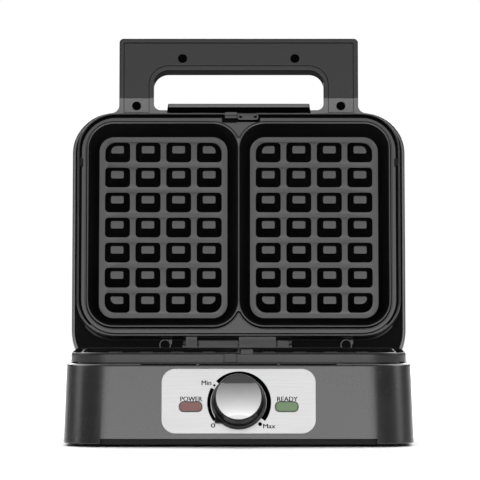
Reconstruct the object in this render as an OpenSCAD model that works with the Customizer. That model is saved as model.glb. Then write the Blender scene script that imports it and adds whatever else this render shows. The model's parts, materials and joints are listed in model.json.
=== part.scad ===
// Waffle maker with two cooking cavities, an open lid, a control panel and a carrying handle.
// X runs to the right, +Z up and -Y to the front. The object stands on z = 0.

/* [Base] */
// Width of the housing at its lower edge
base_w = 274; // [272:0.5:280]
// Width and depth of the housing at its upper edge
base_top_size = [269.3, 204];
// Height of the housing's upper edge
base_top_z = 64.4; // [62:0.1:65]
// Height of the housing's lower edge
base_low_z = 2.4; // [2:0.1:4]
// Height of the undercut along the front
undercut_z = 6.5; // [5:0.1:8]
// Slope of the front panel, in degrees from upright
panel_slope = 14; // [10:1:18]
// Corner radius of the housing, seen from above
base_corner = 36; // [30:1:40]
// Wall thickness of the mouldings
wall = 2.6; // [2:0.1:3]
// Height of the feet below the bottom cover
foot_h = 2; // [1:0.1:3]
// Radius of a foot
foot_r = 9; // [6:0.5:12]
// Distance of the feet from the middle, left and right
foot_x = 112.5; // [90:0.5:114]

/* [Hinge] */
// Distance of the hinge line behind the origin
hinge_y = 69.4; // [69:0.1:70]
// Height of the hinge line, which is where the two plates meet
hinge_z = 73; // [72:0.1:74]
// Lean of the open lid past upright, in degrees
lid_lean = 14; // [10:1:16]
// Radius of the knuckles
knuckle_r = 5.3; // [5:0.1:5.5]
// Radius of the hinge pin
pin_r = 2.4; // [2:0.1:3]
// Running clearance of the pin in the knuckles
pin_gap = 0.05; // [0.02:0.01:0.1]

/* [Lid] */
// Width and height of the lid shell
shell_size = [270.8, 221.7];
// Corner radius of the lid shell
shell_corner = 36; // [30:1:40]
// Distance of the shell's rim behind the parting plane
shell_rim = 12; // [11:0.5:13]
// Distance of the lid's outside behind the parting plane
shell_back = 45; // [42:0.5:50]
// Width of the gloss panel on the lid's outside
panel_w = 117; // [110:1:120]

/* [Handle] */
// Width of the handle
handle_w = 195.4; // [190:0.2:198]
// Distance of the handle's top edge from the hinge line
handle_top = 262; // [255:0.5:265]
// Thickness of the handle
handle_t = 19.5; // [17:0.5:22]
// Width of the grip opening
grip_w = 138.8; // [130:0.2:145]
// Height of the grip bar
grip_bar = 26.9; // [24:0.1:30]
// Height of the line where the stubs end and the handle starts
stub_top = 211.5; // [209:0.5:214]

/* [Plates] */
// Width and depth of the removable plate
plate_size = [256.2, 180.6];
// Corner radius of the plate
plate_corner = 28; // [24:1:30]
// Width and depth of a cavity inside its bead
cavity_size = [121.2, 168.5];
// Corner radius of a cavity
cavity_corner = 20.5; // [18:0.5:22]
// Depth of a cavity below the bead
cavity_depth = 12.5; // [11:0.5:13]
// How far the cavity's walls lean in from the bead to the floor
cavity_inset = 8.1; // [7:0.1:9]
// Width of the bead
bead_w = 1.8; // [1.4:0.1:2.2]
// Distance from one peg to the next, across and along
peg_pitch = [24.9, 21];
// Size of a peg at the floor
peg_base = [19.75, 16];
// Size of a peg at its top
peg_top = [10.5, 6.4];
// Height of a peg above the floor
peg_h = 9.7; // [8:0.1:10]
// Thickness of the cast plate
plate_t = 2.5; // [2:0.1:3]

/* [Controls] */
// Width and height of the metal fascia
fascia_size = [120.4, 51.8];
// Thickness of the fascia
fascia_t = 0.8; // [0.5:0.1:1]
// Distance of the knob's centre down the front panel
knob_s = 31; // [30:0.5:32]
// Radius of the knob at its skirt and at its face
knob_r = [21.4, 18.5];
// Height of the knob's face above the front panel
knob_h = 22; // [20:0.5:24]
// Direction of the pointer when the knob is off, in degrees
pointer_angle = 221.5; // [218:0.5:226]
// Width and height of a lens
lens_size = [18.6, 8.4];
// Distance of the lenses from the middle
lens_x = 37.4; // [36:0.2:39]
// Distance of the lenses' centres down the front panel
lens_s = 34.2; // [33:0.2:36]

/* [Hidden] */
$fn = 64;
rim_gap = 0.15;                             // half the gap between the closed rims
frame_size = [262.5, 186.9];                // both plate frames
frame_corner = 31;
frame_wall = 1.5;
frame_mid = 102.35;                         // centre of frames and plates, from the hinge line
plate_mid = 102.6;
flange_w = -3.8;                            // cooking side of the plate's flange
flange_back = flange_w - plate_t;
sleeve_size = [251.6, 176.4];               // the frame's sleeve below the ledge
sleeve_corner = 22.5;
sleeve_end = -25.5;
cavity_x = cavity_size[0] / 2 + 0.8;        // centre of a cavity
gap_z = 1.3;                                // gap between the housing and the base frame
frame_low = base_top_z + gap_z - hinge_z;   // lower edge of the base frame's lip
top_front = hinge_y - 199.5;                // front edge of the housing's top
top_back = top_front + base_top_size[1];
grip_low = handle_top - grip_bar;           // upper edge of the grip opening
shell_mid = 88.25;                          // centre of the lid shell, from the hinge line
shell_high = shell_mid + shell_size[1] / 2;
latch_x = -6.4;
cover_top = foot_h + 2.5;                   // upper side of the bottom cover's floor
post_x = 122;                               // screw posts of the housing
post_y = [hinge_y - 172, hinge_y - 24];
post_top = 45;
foot_y = [hinge_y - 192, hinge_y - 12];
knuckles_base = [[-32.1, -0.8], [31.5, 40.2]];
knuckles_lid = [[-42.7, -33.7], [0.2, 30]];
boss_at = [[-59.6, 3.8], [87.1, 3.8]];
handle_screw_at = [[-46, 245.1], [46, 245.1], [-83.5, 204.9], [83.5, 204.9]];
plastic = [0.42, 0.42, 0.42];
dark_plastic = [0.22, 0.22, 0.22];
nonstick = [0.3, 0.31, 0.31];
steel = [0.75, 0.75, 0.77];

// ---- Shared outlines and places ----

// A rounded rectangle centred on the origin
module round_rect(size, r) {
    square([size[0] - 2 * r, size[1]], center = true);
    square([size[0], size[1] - 2 * r], center = true);
    for (x = [-1, 1], y = [-1, 1])
        translate([x * (size[0] / 2 - r), y * (size[1] / 2 - r)]) circle(r);
}

// A rounded slab from height a to height b
module slab(size, r, a, b) {
    translate([0, 0, a]) linear_extrude(b - a) round_rect(size, r);
}

// A wall that follows a rounded rectangle, inside its outline
module ring(size, r, t, a, b) {
    translate([0, 0, a]) linear_extrude(b - a) difference() {
        round_rect(size, r);
        round_rect([size[0] - 2 * t, size[1] - 2 * t], r - t);
    }
}

// A box from one corner to the opposite one
module box(low, high) {
    translate(low) cube([high[0] - low[0], high[1] - low[1], high[2] - low[2]]);
}

// A rounded rectangle that gets smaller by inset from height b down to height a
module basin(size, r, inset, a, b) {
    intersection() {
        union() {
            for (x = [-1, 1], y = [-1, 1])
                translate([x * (size[0] / 2 - r), y * (size[1] / 2 - r), a])
                    cylinder(h = b - a, r1 = r - inset, r2 = r);
            for (turn = [0, 1]) wedge(size, r, inset, a, b, turn);
        }
        translate([0, 0, (a + b) / 2]) cube([size[0], size[1], b - a], center = true);
    }
}

// The straight part of a basin, across for turn 0 and along for turn 1
module wedge(size, r, inset, a, b, turn) {
    wide = size[turn] / 2;
    long = size[1 - turn] - 2 * r;
    rotate([0, 0, 90 * turn]) rotate([90, 0, 0])
        linear_extrude(long, center = true)
            polygon([[-wide, b], [wide, b], [wide - inset, a], [-wide + inset, a]]);
}

// Places the lid: local x across, y away from the hinge, z out of the cooking side
module on_lid() {
    translate([0, hinge_y, hinge_z]) rotate([90 - lid_lean, 0, 0]) children();
}

// Places what lies under the parting plane in the base, in the same local terms as on_lid
module on_base() {
    translate([0, hinge_y, hinge_z]) mirror([0, 1, 0]) children();
}

// Places what sits on the front panel: local y up the slope, z out of the panel
module on_panel() {
    translate([0, top_front, base_top_z]) rotate([90 - panel_slope, 0, 0]) children();
}

// ---- Cooking plates, the same in the base and in the lid ----

module peg_field() {
    across = [for (i = [-1.5 : 1.5]) i * peg_pitch[0]];
    along = [for (i = [-3 : 3]) i * peg_pitch[1]];
    floor_w = -cavity_depth - 0.5;
    intersection() {
        for (x = across) translate([x, 0, 0]) peg_ridge(peg_base[0], peg_top[0], 150);
        for (y = along) translate([0, y, 0]) rotate([0, 0, 90])
            peg_ridge(peg_base[1], peg_top[1], 110);
        box([-60, -80, floor_w], [60, 80, peg_h - cavity_depth]);
    }
}

// A long ridge with the cross-section of a peg, sunk 0.5 into the floor
module peg_ridge(base, top, long) {
    foot = base / 2 + 0.5 * (base - top) / 2 / peg_h;
    rotate([90, 0, 0]) linear_extrude(long, center = true)
        polygon([[-foot, -cavity_depth - 0.5], [foot, -cavity_depth - 0.5],
                 [top / 2, peg_h - cavity_depth], [-top / 2, peg_h - cavity_depth]]);
}

module plate() {
    outer = [cavity_size[0] + 2 * bead_w, cavity_size[1] + 2 * bead_w];
    difference() {
        union() {
            difference() {
                slab(plate_size, plate_corner, flange_back, flange_w);
                // cut-outs for the tongue's pocket and, in the upper half only, for the latch
                box([-1.9, 86.6, -9], [16.9, 100, 1]);
                box([-13.5, 89, flange_back + 1.2], [0, 100, 1]);
            }
            for (x = [-cavity_x, cavity_x]) translate([x, 0, 0]) {
                slab(outer, cavity_corner + bead_w, flange_back, -rim_gap);
                basin(outer, cavity_corner + bead_w, cavity_inset,
                      -cavity_depth - plate_t, flange_back);
            }
        }
        for (x = [-cavity_x, cavity_x]) translate([x, 0, 0])
            basin(cavity_size, cavity_corner, cavity_inset, -cavity_depth, 0);
    }
    for (x = [-cavity_x, cavity_x]) translate([x, 0, 0]) peg_field();
}

// The frame around a plate: an outer wall, the ledge that the plate lies on, and a sleeve inside
module plate_frame(wall_low, ledge_low) {
    difference() {
        union() {
            ring(frame_size, frame_corner, frame_wall, wall_low, -rim_gap);
            difference() {
                slab(frame_size, frame_corner, ledge_low, flange_back);
                slab([sleeve_size[0] - 3, sleeve_size[1] - 3], sleeve_corner - 1.5, -30, 0);
            }
            ring(sleeve_size, sleeve_corner, 1.5, sleeve_end, flange_back - 0.5);
        }
        // slot for the latch
        box([latch_x - 5.2, 85, -7.8], [latch_x + 5.2, 100, 1]);
    }
}

module side_clips() {
    for (side = [-1, 1]) scale_x(side)
        translate([0, 52.5, 0]) rotate([90, 0, 0]) linear_extrude(6.5, center = true)
            polygon([[128.5, flange_back], [129.5, flange_back], [129.5, -1.6],
                     [126.7, -2.6], [126.7, flange_w], [128.5, flange_w]]);
}

// Mirrors its children to the left when side is -1
module scale_x(side) {
    if (side < 0) mirror([1, 0, 0]) children(); else children();
}

module reflector() {
    tray = [sleeve_size[0] - 3.4, sleeve_size[1] - 3.4];
    difference() {
        slab(tray, sleeve_corner - 1.7, sleeve_end, -16);
        slab([tray[0] - 2, tray[1] - 2], sleeve_corner - 2.7, sleeve_end + 1, -15);
        for (x = [-100, 100]) translate([x, 0, sleeve_end - 1]) cylinder(h = 4, r = 3.4);
    }
}

// A sheathed heating loop that runs once around under both cavities
module heating_element() {
    loop = [190, 116];
    bend = 22;
    tube = 3.2;
    low = -cavity_depth - plate_t - tube - 0.2;
    translate([0, 0, low]) {
        for (x = [-1, 1], y = [-1, 1])
            translate([x * (loop[0] / 2 - bend), y * (loop[1] / 2 - bend), 0])
                rotate([0, 0, (x > 0 ? (y > 0 ? 0 : -90) : (y > 0 ? 90 : 180))])
                    rotate_extrude(angle = 90) translate([bend, 0]) circle(tube, $fn = 24);
        for (y = [-1, 1]) translate([0, y * loop[1] / 2, 0]) rotate([0, 90, 0])
            cylinder(h = loop[0] - 2 * bend, r = tube, center = true, $fn = 24);
        for (x = [-1, 1]) translate([x * loop[0] / 2, 0, 0]) rotate([90, 0, 0])
            cylinder(h = loop[1] - 2 * bend, r = tube, center = true, $fn = 24);
    }
}

// A latch that holds a plate: a nose over the edge of its flange and a tab in line with the rim
module latch() {
    rotate([90, 0, 90]) linear_extrude(9.6, center = true)
        polygon([[194.4, -7.2], [194.4, -4.9], [191.9, -4.9], [192.5, -3.7], [194.4, -3.7],
                 [194.4, -0.8], [196.6, -0.8], [196.6, -7.2]]);
}

// ---- Base ----

// The housing's front and rear faces and half its width, at height z
function front_at(z) = top_front - (base_top_z - z) * tan(panel_slope);
function back_at(z) = top_back + 1.4 * (base_top_z - z) / (base_top_z - base_low_z);
function half_at(z) = base_top_size[0] / 2 +
    (base_w - base_top_size[0]) / 2 * (base_top_z - z) / (base_top_z - base_low_z);

// A thin slab at height z with the housing's outline at height at, drawn in by t
module level(z, at, t) {
    translate([0, (front_at(at) + back_at(at)) / 2, z]) linear_extrude(0.1)
        round_rect([2 * (half_at(at) - t), back_at(at) - front_at(at) - 2 * t], base_corner - t, $fn = 48);
}

// The solid form of the housing between two heights, drawn in by t on every side
module housing_form(t, low, high) {
    hull() {
        level(high - 0.1, high, t);
        level(low, low + 0.1, t);
    }
}

module base_housing() {
    color(plastic) difference() {
        union() {
            difference() {
                housing_form(0, base_low_z, base_top_z);
                housing_form(wall, base_low_z - 0.2, base_top_z - wall);
                // undercut, where the bottom cover shows
                box([-108, front_at(0) - 5, 0], [108, front_at(0) + 9, undercut_z]);
            }
            // screw posts, each with a rib to the side wall
            for (x = [-post_x, post_x], y = post_y) {
                translate([x, y, cover_top]) cylinder(h = post_top - cover_top, r = 4.5);
                scale_x(sign(x)) box([post_x, y - 1.5, 9], [post_x + 11, y + 1.5, post_top]);
            }
        }
        for (x = [-post_x, post_x], y = post_y) translate([x, y, 0]) cylinder(h = 30, r = 1.55);
        // opening for the plate frame
        on_base() translate([0, frame_mid, 0])
            slab([sleeve_size[0] + 1, sleeve_size[1] + 1], sleeve_corner + 0.5, -16, 1);
        // shaft and lens openings in the front panel
        on_panel() {
            translate([0, -knob_s, -8]) cylinder(h = 20, r = 5.4);
            for (x = [-lens_x, lens_x]) translate([x, -lens_s, 0])
                slab([lens_size[0] + 0.4, lens_size[1] + 0.4], 2.9, -8, 8);
        }
        // cord inlet
        translate([70, top_back, 22]) rotate([90, 0, 0]) cylinder(h = 20, r = 6.2, center = true);
    }
}

module bottom_cover() {
    inset = 4.6;
    front = front_at(base_low_z);
    back = back_at(base_low_z);
    mid_y = (front + back) / 2;
    size = [base_w - 2 * inset, back - front - 2 * inset];
    color(dark_plastic) difference() {
        translate([0, mid_y, 0]) slab(size, base_corner - inset, foot_h, 8.6);
        translate([0, mid_y, 0])
            slab([size[0] - 5, size[1] - 5], base_corner - inset - 2.5, cover_top, 10);
        for (x = [-foot_x, foot_x], y = foot_y) translate([x, y, 0]) cylinder(h = 10, r = 4.1);
        for (x = [-post_x, post_x], y = post_y) translate([x, y, 0]) cylinder(h = 20, r = 1.9);
        for (x = [-60 : 12 : 60]) box([x - 1.5, hinge_y - 130, 0], [x + 1.5, hinge_y - 80, 8]);
    }
}

module rubber_feet() {
    color([0.12, 0.12, 0.12]) for (x = [-foot_x, foot_x], y = foot_y)
        translate([x, y, 0]) {
            cylinder(h = foot_h, r = foot_r);
            cylinder(h = cover_top, r = 4);
            translate([0, 0, cover_top]) cylinder(h = 1.4, r1 = 5.4, r2 = 4);
        }
}

module base_plate_frame() {
    tabs = [[-87.6, -75.9], [-32.2, -29.9], [30.2, 32.5], [76.2, 88.7]];
    color(dark_plastic) {
        on_base() translate([0, frame_mid, 0]) plate_frame(frame_low, frame_low);
        // tabs that hold the frame up from the housing
        for (t = tabs, y = [hinge_y - 195, hinge_y - 14.7])
            box([t[0], y, base_top_z], [t[1], y + 5, base_top_z + gap_z + 0.5]);
        for (side = [-1, 1], y = [hinge_y - 150, hinge_y - 60])
            box([side * 128 - 2.5, y, base_top_z], [side * 128 + 2.5, y + 8, base_top_z + gap_z + 0.5]);
        // closing tongue
        translate([0, hinge_y - 194.1, 0]) rotate([90, 0, 0])
            linear_extrude(1.4) polygon([[0.9, base_top_z + 2], [11.6, base_top_z + 2],
                                         [11.6, hinge_z + 2.6], [2.2, hinge_z + 2.6], [0.9, hinge_z + 1.2]]);
    }
}

module lower_plate() {
    color(nonstick) on_base() translate([0, plate_mid, 0]) plate();
}

module lower_side_clips() {
    color(steel) on_base() translate([0, frame_mid, 0]) side_clips();
}

module lower_reflector() {
    color(steel) on_base() translate([0, frame_mid, 0]) reflector();
}

module lower_heating_element() {
    color([0.35, 0.33, 0.32]) on_base() translate([0, frame_mid, 0]) heating_element();
}

module lower_latch() {
    color(dark_plastic) on_base() translate([latch_x, 0, 0]) latch();
}

module control_fascia() {
    color([0.87, 0.87, 0.88]) on_panel() difference() {
        translate([0, -29.8, 0]) slab(fascia_size, 11.1, 0, fascia_t);
        translate([0, -knob_s, -1]) cylinder(h = 4, r = 5.4);
        for (x = [-lens_x, lens_x]) translate([x, -lens_s, 0])
            slab([lens_size[0] + 0.2, lens_size[1] + 0.2], 2.8, -1, 4);
    }
}

module lens(x) {
    on_panel() translate([x, -lens_s, 0]) {
        slab(lens_size, 2.7, -wall - 1.2, fascia_t + 0.8);
        slab([lens_size[0] + 4, lens_size[1] + 4], 2.7, -wall - 1.9, -wall);
    }
}

module power_lens() { color([0.62, 0.25, 0.25]) lens(-lens_x); }

module ready_lens() { color([0.35, 0.55, 0.3]) lens(lens_x); }

// A neon lamp with its two leads
module lamp(x) {
    on_panel() translate([x, -lens_s, -9]) {
        rotate([0, 90, 0]) cylinder(h = 13, r = 2.6, center = true);
        for (side = [-1, 1]) translate([side * 8.5, 0, 0])
            rotate([0, 90, 0]) cylinder(h = 5, r = 0.5, center = true);
    }
}

module power_lamp() { color([0.95, 0.6, 0.4]) lamp(-lens_x); }

module ready_lamp() { color([0.5, 0.85, 0.45]) lamp(lens_x); }

module thermostat() {
    color(steel) on_panel() translate([0, -knob_s, 0]) difference() {
        union() {
            box([-15, -11, -wall - 1.9], [15, 11, -wall]);
            translate([0, 0, -18]) cylinder(h = 14, r = 11);
            translate([0, 0, -wall - 1]) cylinder(h = wall + 6, r = 4.8);
            for (side = [-1, 1]) box([side * 5 - 3, -16, -16], [side * 5 + 3, -9, -15.2]);
        }
        translate([0, 0, -12]) cylinder(h = 30, r = 3.05);
    }
}

module thermostat_nut() {
    color(steel) on_panel() translate([0, -knob_s, fascia_t]) difference() {
        cylinder(h = 2.4, r = 8, $fn = 6);
        translate([0, 0, -1]) cylinder(h = 5, r = 4.85);
    }
}

module thermal_fuse() {
    color([0.85, 0.82, 0.75]) translate([-40, hinge_y - 105, hinge_z + sleeve_end - 2.2]) {
        rotate([0, 90, 0]) cylinder(h = 11, r = 2.2, center = true);
        for (side = [-1, 1]) translate([side * 10, 0, 0])
            rotate([0, 90, 0]) cylinder(h = 9, r = 0.5, center = true);
    }
}

module terminal_block() {
    color([0.9, 0.9, 0.86]) difference() {
        box([52, hinge_y - 34, cover_top], [88, hinge_y - 20, foot_h + 16]);
        for (x = [58, 70, 82]) {
            translate([x, hinge_y - 27, foot_h + 9]) cylinder(h = 20, r = 2);
            translate([x, hinge_y - 27, foot_h + 7]) rotate([90, 0, 0])
                cylinder(h = 30, r = 1.6, center = true);
        }
    }
}

// Leads from the terminal block to the thermostat and the lamps
module wiring_loom() {
    z = foot_h + 7;
    front = hinge_y - 176;
    color([0.75, 0.2, 0.15]) for (i = [0 : 2]) {
        x = 58 + 12 * i;
        along_y = front - 6 * i;
        translate([x, hinge_y - 34.5, z]) rotate([90, 0, 0])
            cylinder(h = hinge_y - 34.5 - along_y, r = 1.3, $fn = 24);
        translate([x, along_y, z]) sphere(1.3, $fn = 24);
        translate([x, along_y, z]) rotate([0, -90, 0]) cylinder(h = 40 + 18 * i, r = 1.3, $fn = 24);
    }
}

// Bush that protects the cord where it enters the base
module cord_grommet() {
    color([0.1, 0.1, 0.1]) translate([70, top_back, 22]) rotate([-90, 0, 0]) difference() {
        union() {
            translate([0, 0, -6]) cylinder(h = 12, r = 6);
            translate([0, 0, 1.4]) cylinder(h = 4.6, r = 8);
            translate([0, 0, -6]) cylinder(h = 3, r = 8);
        }
        translate([0, 0, -8]) cylinder(h = 20, r = 3.6);
    }
}

// One knuckle with its bore; local x along the hinge line
module knuckle(span) {
    translate([span[0], 0, 0]) rotate([0, 90, 0]) cylinder(h = span[1] - span[0], r = knuckle_r);
}

module base_hinge_bracket() {
    color(steel) translate([0, hinge_y, hinge_z]) difference() {
        union() {
            for (k = knuckles_base) {
                knuckle(k);
                box([k[0], -knuckle_r, base_top_z - hinge_z], [k[1], 2.5, 0]);
            }
            box([-45, -7, base_top_z - hinge_z], [43, 3, base_top_z - hinge_z + 1.2]);
        }
        rotate([0, 90, 0]) cylinder(h = 200, r = pin_r + pin_gap, center = true);
    }
}

module hinge_pin() {
    left = knuckles_lid[0][0] - 1;
    right = knuckles_base[1][1] + 1;
    color([0.6, 0.6, 0.62]) translate([0, hinge_y, hinge_z]) rotate([0, 90, 0]) {
        translate([0, 0, left]) cylinder(h = right - left, r = pin_r);
        translate([0, 0, left - 1.6]) cylinder(h = 1.6, r = pin_r + 1.2);
        translate([0, 0, right]) cylinder(h = 1.6, r = pin_r + 1.2);
    }
}

module bottom_screws() {
    color(steel) for (x = [-post_x, post_x], y = post_y) translate([x, y, 0]) {
        translate([0, 0, foot_h - 1.2]) cylinder(h = 1.2, r = 3.2);
        translate([0, 0, foot_h - 0.5]) cylinder(h = 22, r = 1.5);
    }
}

// ---- Knob, which turns about the panel's normal ----

module knob_body() {
    color([0.1, 0.1, 0.1]) on_panel() translate([0, -knob_s, 0]) {
        rotate_extrude() polygon([[3.05, 6.5], [6.2, 6.5], [6.2, knob_h - 3.6], [16.4, knob_h - 3.6],
                                  [17.6, 1.3], [knob_r[0], 1.3], [knob_r[0], 3.4],
                                  [knob_r[1] + 0.9, 5], [knob_r[1], knob_h], [17.8, knob_h],
                                  [17.8, knob_h - 1.6], [3.05, knob_h - 1.6]]);
        // pointer on the skirt
        rotate([0, 0, pointer_angle]) box([18.8, -1.6, 1.4], [23.4, 1.6, 4.2]);
    }
}

module knob_cap() {
    color([0.85, 0.85, 0.87]) on_panel() translate([0, -knob_s, 0])
        rotate_extrude() polygon([[0, knob_h - 1.6], [17.7, knob_h - 1.6], [17.7, knob_h],
                                  [16.9, knob_h + 0.5], [0, knob_h + 0.9]]);
}

module knob_shaft() {
    color(steel) on_panel() translate([0, -knob_s, -11.5]) cylinder(h = knob_h + 9, r = 3);
}

// ---- Lid ----

// The solid form of the lid shell, drawn in by t; its outside is slightly domed
module shell_form(t, back) {
    hull() {
        translate([0, shell_mid, 0])
            slab([shell_size[0] - 2 * t, shell_size[1] - 2 * t], shell_corner - t, -28, -shell_rim, $fn = 48);
        translate([0, shell_mid, 0])
            slab([shell_size[0] - 2 * t - 10, shell_size[1] - 2 * t - 10],
                 shell_corner - t - 4, -back + 3, -28, $fn = 48);
        translate([0, shell_mid, 0])
            slab([shell_size[0] - 2 * t - 26, shell_size[1] - 2 * t - 26],
                 shell_corner - t - 10, -back, -28, $fn = 48);
    }
}

module lid_shell() {
    color(plastic) on_lid() {
        difference() {
            shell_form(0, shell_back);
            translate([0, 0, 0.02]) shell_form(wall, shell_back - wall);
        }
        // stubs that carry the handle
        for (side = [-1, 1]) scale_x(side) difference() {
            box([grip_w / 2, shell_high - 1.5, -shell_rim - handle_t], [handle_w / 2, stub_top, -shell_rim]);
            // recess for the handle cover and screw hole
            box([grip_w / 2 + 3.5, shell_high, -shell_rim - 2.4], [handle_w / 2 - 3.5, 230, -5]);
            translate([83.5, 204.9, -40]) cylinder(h = 40, r = 1.8);
        }
        // posts for the screws of the ring bosses
        for (b = boss_at) translate([b[0], b[1], -shell_back + wall - 0.5]) difference() {
            cylinder(h = shell_back - wall - shell_rim - 1.6, r = 4.5);
            translate([0, 0, 6]) cylinder(h = 40, r = 1.55);
        }
        // lower rim of the grip opening, beside the outer panel's front edge
        for (side = [-1, 1]) scale_x(side)
            box([panel_w / 2 + 0.8, shell_high - 1.2, -shell_rim - 5],
                [grip_w / 2 + 1, shell_high + 2.2, -shell_rim]);
    }
}

module lid_plate_frame() {
    inner = [shell_size[0] - 2 * wall - 0.5, shell_size[1] - 2 * wall - 0.5];
    color(dark_plastic) on_lid() {
        difference() {
            union() {
                translate([0, frame_mid, 0]) plate_frame(-shell_rim - 2, flange_back - 2);
                difference() {
                    // cover of the shell's mouth
                    translate([0, shell_mid, 0])
                        slab(inner, shell_corner - wall - 0.25, -shell_rim - 2, -shell_rim);
                    translate([0, frame_mid, 0])
                        slab([frame_size[0] - 2 * frame_wall, frame_size[1] - 2 * frame_wall],
                             frame_corner - frame_wall, -30, 0);
                }
                for (b = boss_at) translate([b[0], b[1], -shell_rim - 2]) cylinder(h = 5.5, r = 5);
                box([-1.1, 189.9, flange_back - 0.5], [16.1, 195.8, -rim_gap]);
            }
            for (b = boss_at) translate([b[0], b[1], -30]) {
                cylinder(h = 40, r = 1.6);
                translate([0, 0, 17]) cylinder(h = 20, r = 3.65);
            }
            // pocket for the base's tongue
            box([0.4, 191.4, -3.5], [14.6, 200, 1]);
        }
    }
}

module lid_outer_panel() {
    back = -shell_back;
    color([0.05, 0.05, 0.05]) on_lid() rotate([90, 0, 90]) linear_extrude(panel_w, center = true)
        polygon([[-4, back - 0.05], [-4, back - 2.2], [184, back - 2.2], [196, back + 1.6],
                 [205, back + 11], [210, -27.5], [210, -24.5], [208.4, -23.4], [201.5, -13],
                 [199.4, -13], [199.4, -28],
                 [194.5, back + 3], [186.3, back - 0.05]]);
}

module upper_plate() {
    color(nonstick) on_lid() translate([0, plate_mid, 0]) plate();
}

module upper_side_clips() {
    color(steel) on_lid() translate([0, frame_mid, 0]) side_clips();
}

module upper_reflector() {
    color(steel) on_lid() translate([0, frame_mid, 0]) reflector();
}

module upper_heating_element() {
    color([0.35, 0.33, 0.32]) on_lid() translate([0, frame_mid, 0]) heating_element();
}

module lid_hinge_bracket() {
    color(steel) on_lid() difference() {
        union() {
            for (k = knuckles_lid) {
                knuckle(k);
                box([k[0], -4, -shell_rim + 0.5], [k[1], knuckle_r, 0]);
                box([k[0], 0, -shell_rim + 0.5], [k[1], 8.8, -1.2]);
            }
            box([-45, -8, -shell_rim], [43, 7.5, -shell_rim + 1.2]);
        }
        rotate([0, 90, 0]) cylinder(h = 200, r = pin_r + pin_gap, center = true);
    }
}

module lid_boss_screws() {
    color(steel) on_lid() for (b = boss_at) translate([b[0], b[1], 0]) {
        translate([0, 0, -13]) cylinder(h = 2.2, r = 3.2);
        translate([0, 0, -24]) cylinder(h = 12, r = 1.5);
    }
}

module upper_latch() {
    color(dark_plastic) on_lid() translate([latch_x, 0, 0]) latch();
}

// ---- Handle ----

// The handle's outline above the stubs, drawn in by t
module handle_outline(t) {
    difference() {
        union() {
            translate([-handle_w / 2 + t, stub_top]) square([handle_w - 2 * t, handle_top - stub_top - t - 4]);
            translate([0, handle_top - 24]) round_rect([handle_w - 2 * t, 48 - 2 * t], 4);
        }
        translate([0, grip_low - 40]) round_rect([grip_w + 2 * t, 80 + 2 * t], 12 + t);
    }
}

module handle_grip() {
    back = -shell_rim - handle_t;
    color([0.28, 0.28, 0.28]) on_lid() difference() {
        translate([0, 0, back]) linear_extrude(handle_t) handle_outline(0);
        translate([0, 0, -shell_rim - 2.4]) linear_extrude(5) intersection() {
            handle_outline(3.5);
            translate([-120, stub_top - 1]) square([240, handle_top - stub_top - 1.4]);
        }
        for (s = handle_screw_at) translate([s[0], s[1], -28]) cylinder(h = 30, r = 1.6);
        box([-200, 150, -60], [200, stub_top, 10]);
    }
}

module handle_cover() {
    low = shell_high + 0.3;
    color([0.3, 0.3, 0.3]) on_lid() difference() {
        translate([0, 0, -shell_rim - 2.2]) linear_extrude(2.2) union() {
            intersection() {
                handle_outline(3.7);
                translate([-120, stub_top - 1]) square([240, handle_top - stub_top - 1.6]);
            }
            for (side = [-1, 1]) translate([side * (handle_w + grip_w) / 4, (stub_top + low + 1) / 2])
                square([(handle_w - grip_w) / 2 - 7.4, stub_top - low + 1], center = true);
        }
        for (s = handle_screw_at) translate([s[0], s[1], -20]) cylinder(h = 30, r = 3.65);
    }
}

module handle_screws() {
    color([0.15, 0.15, 0.15]) on_lid() for (s = handle_screw_at) translate([s[0], s[1], 0]) {
        translate([0, 0, -shell_rim - 2.4]) cylinder(h = 1.4, r = 3.4);
        translate([0, 0, -27]) cylinder(h = 13, r = 1.5);
    }
}

base_housing();
bottom_cover();
rubber_feet();
base_plate_frame();
lower_plate();
lower_side_clips();
lower_reflector();
lower_heating_element();
control_fascia();
power_lens();
ready_lens();
power_lamp();
ready_lamp();
thermostat();
thermostat_nut();
thermal_fuse();
terminal_block();
wiring_loom();
cord_grommet();
base_hinge_bracket();
hinge_pin();
bottom_screws();
lower_latch();
knob_body();
knob_cap();
knob_shaft();
lid_shell();
lid_plate_frame();
lid_outer_panel();
upper_plate();
upper_side_clips();
upper_reflector();
upper_heating_element();
lid_hinge_bracket();
lid_boss_screws();
upper_latch();
handle_grip();
handle_cover();
handle_screws();
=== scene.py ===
"""Two-slice waffle maker with an open lid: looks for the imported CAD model.

Every form is written in millimetres in one of four places: the lid (x across, y away from the
hinge line, z out of the cooking side), the base seen in the same terms, the sloping front panel
(x across, y up the slope, z out of the panel) and the row frame. piece() takes it to metres.
"""
import json
import math

import bmesh
import bpy
from mathutils import Matrix, Vector
from mathutils.geometry import tessellate_polygon


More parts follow.
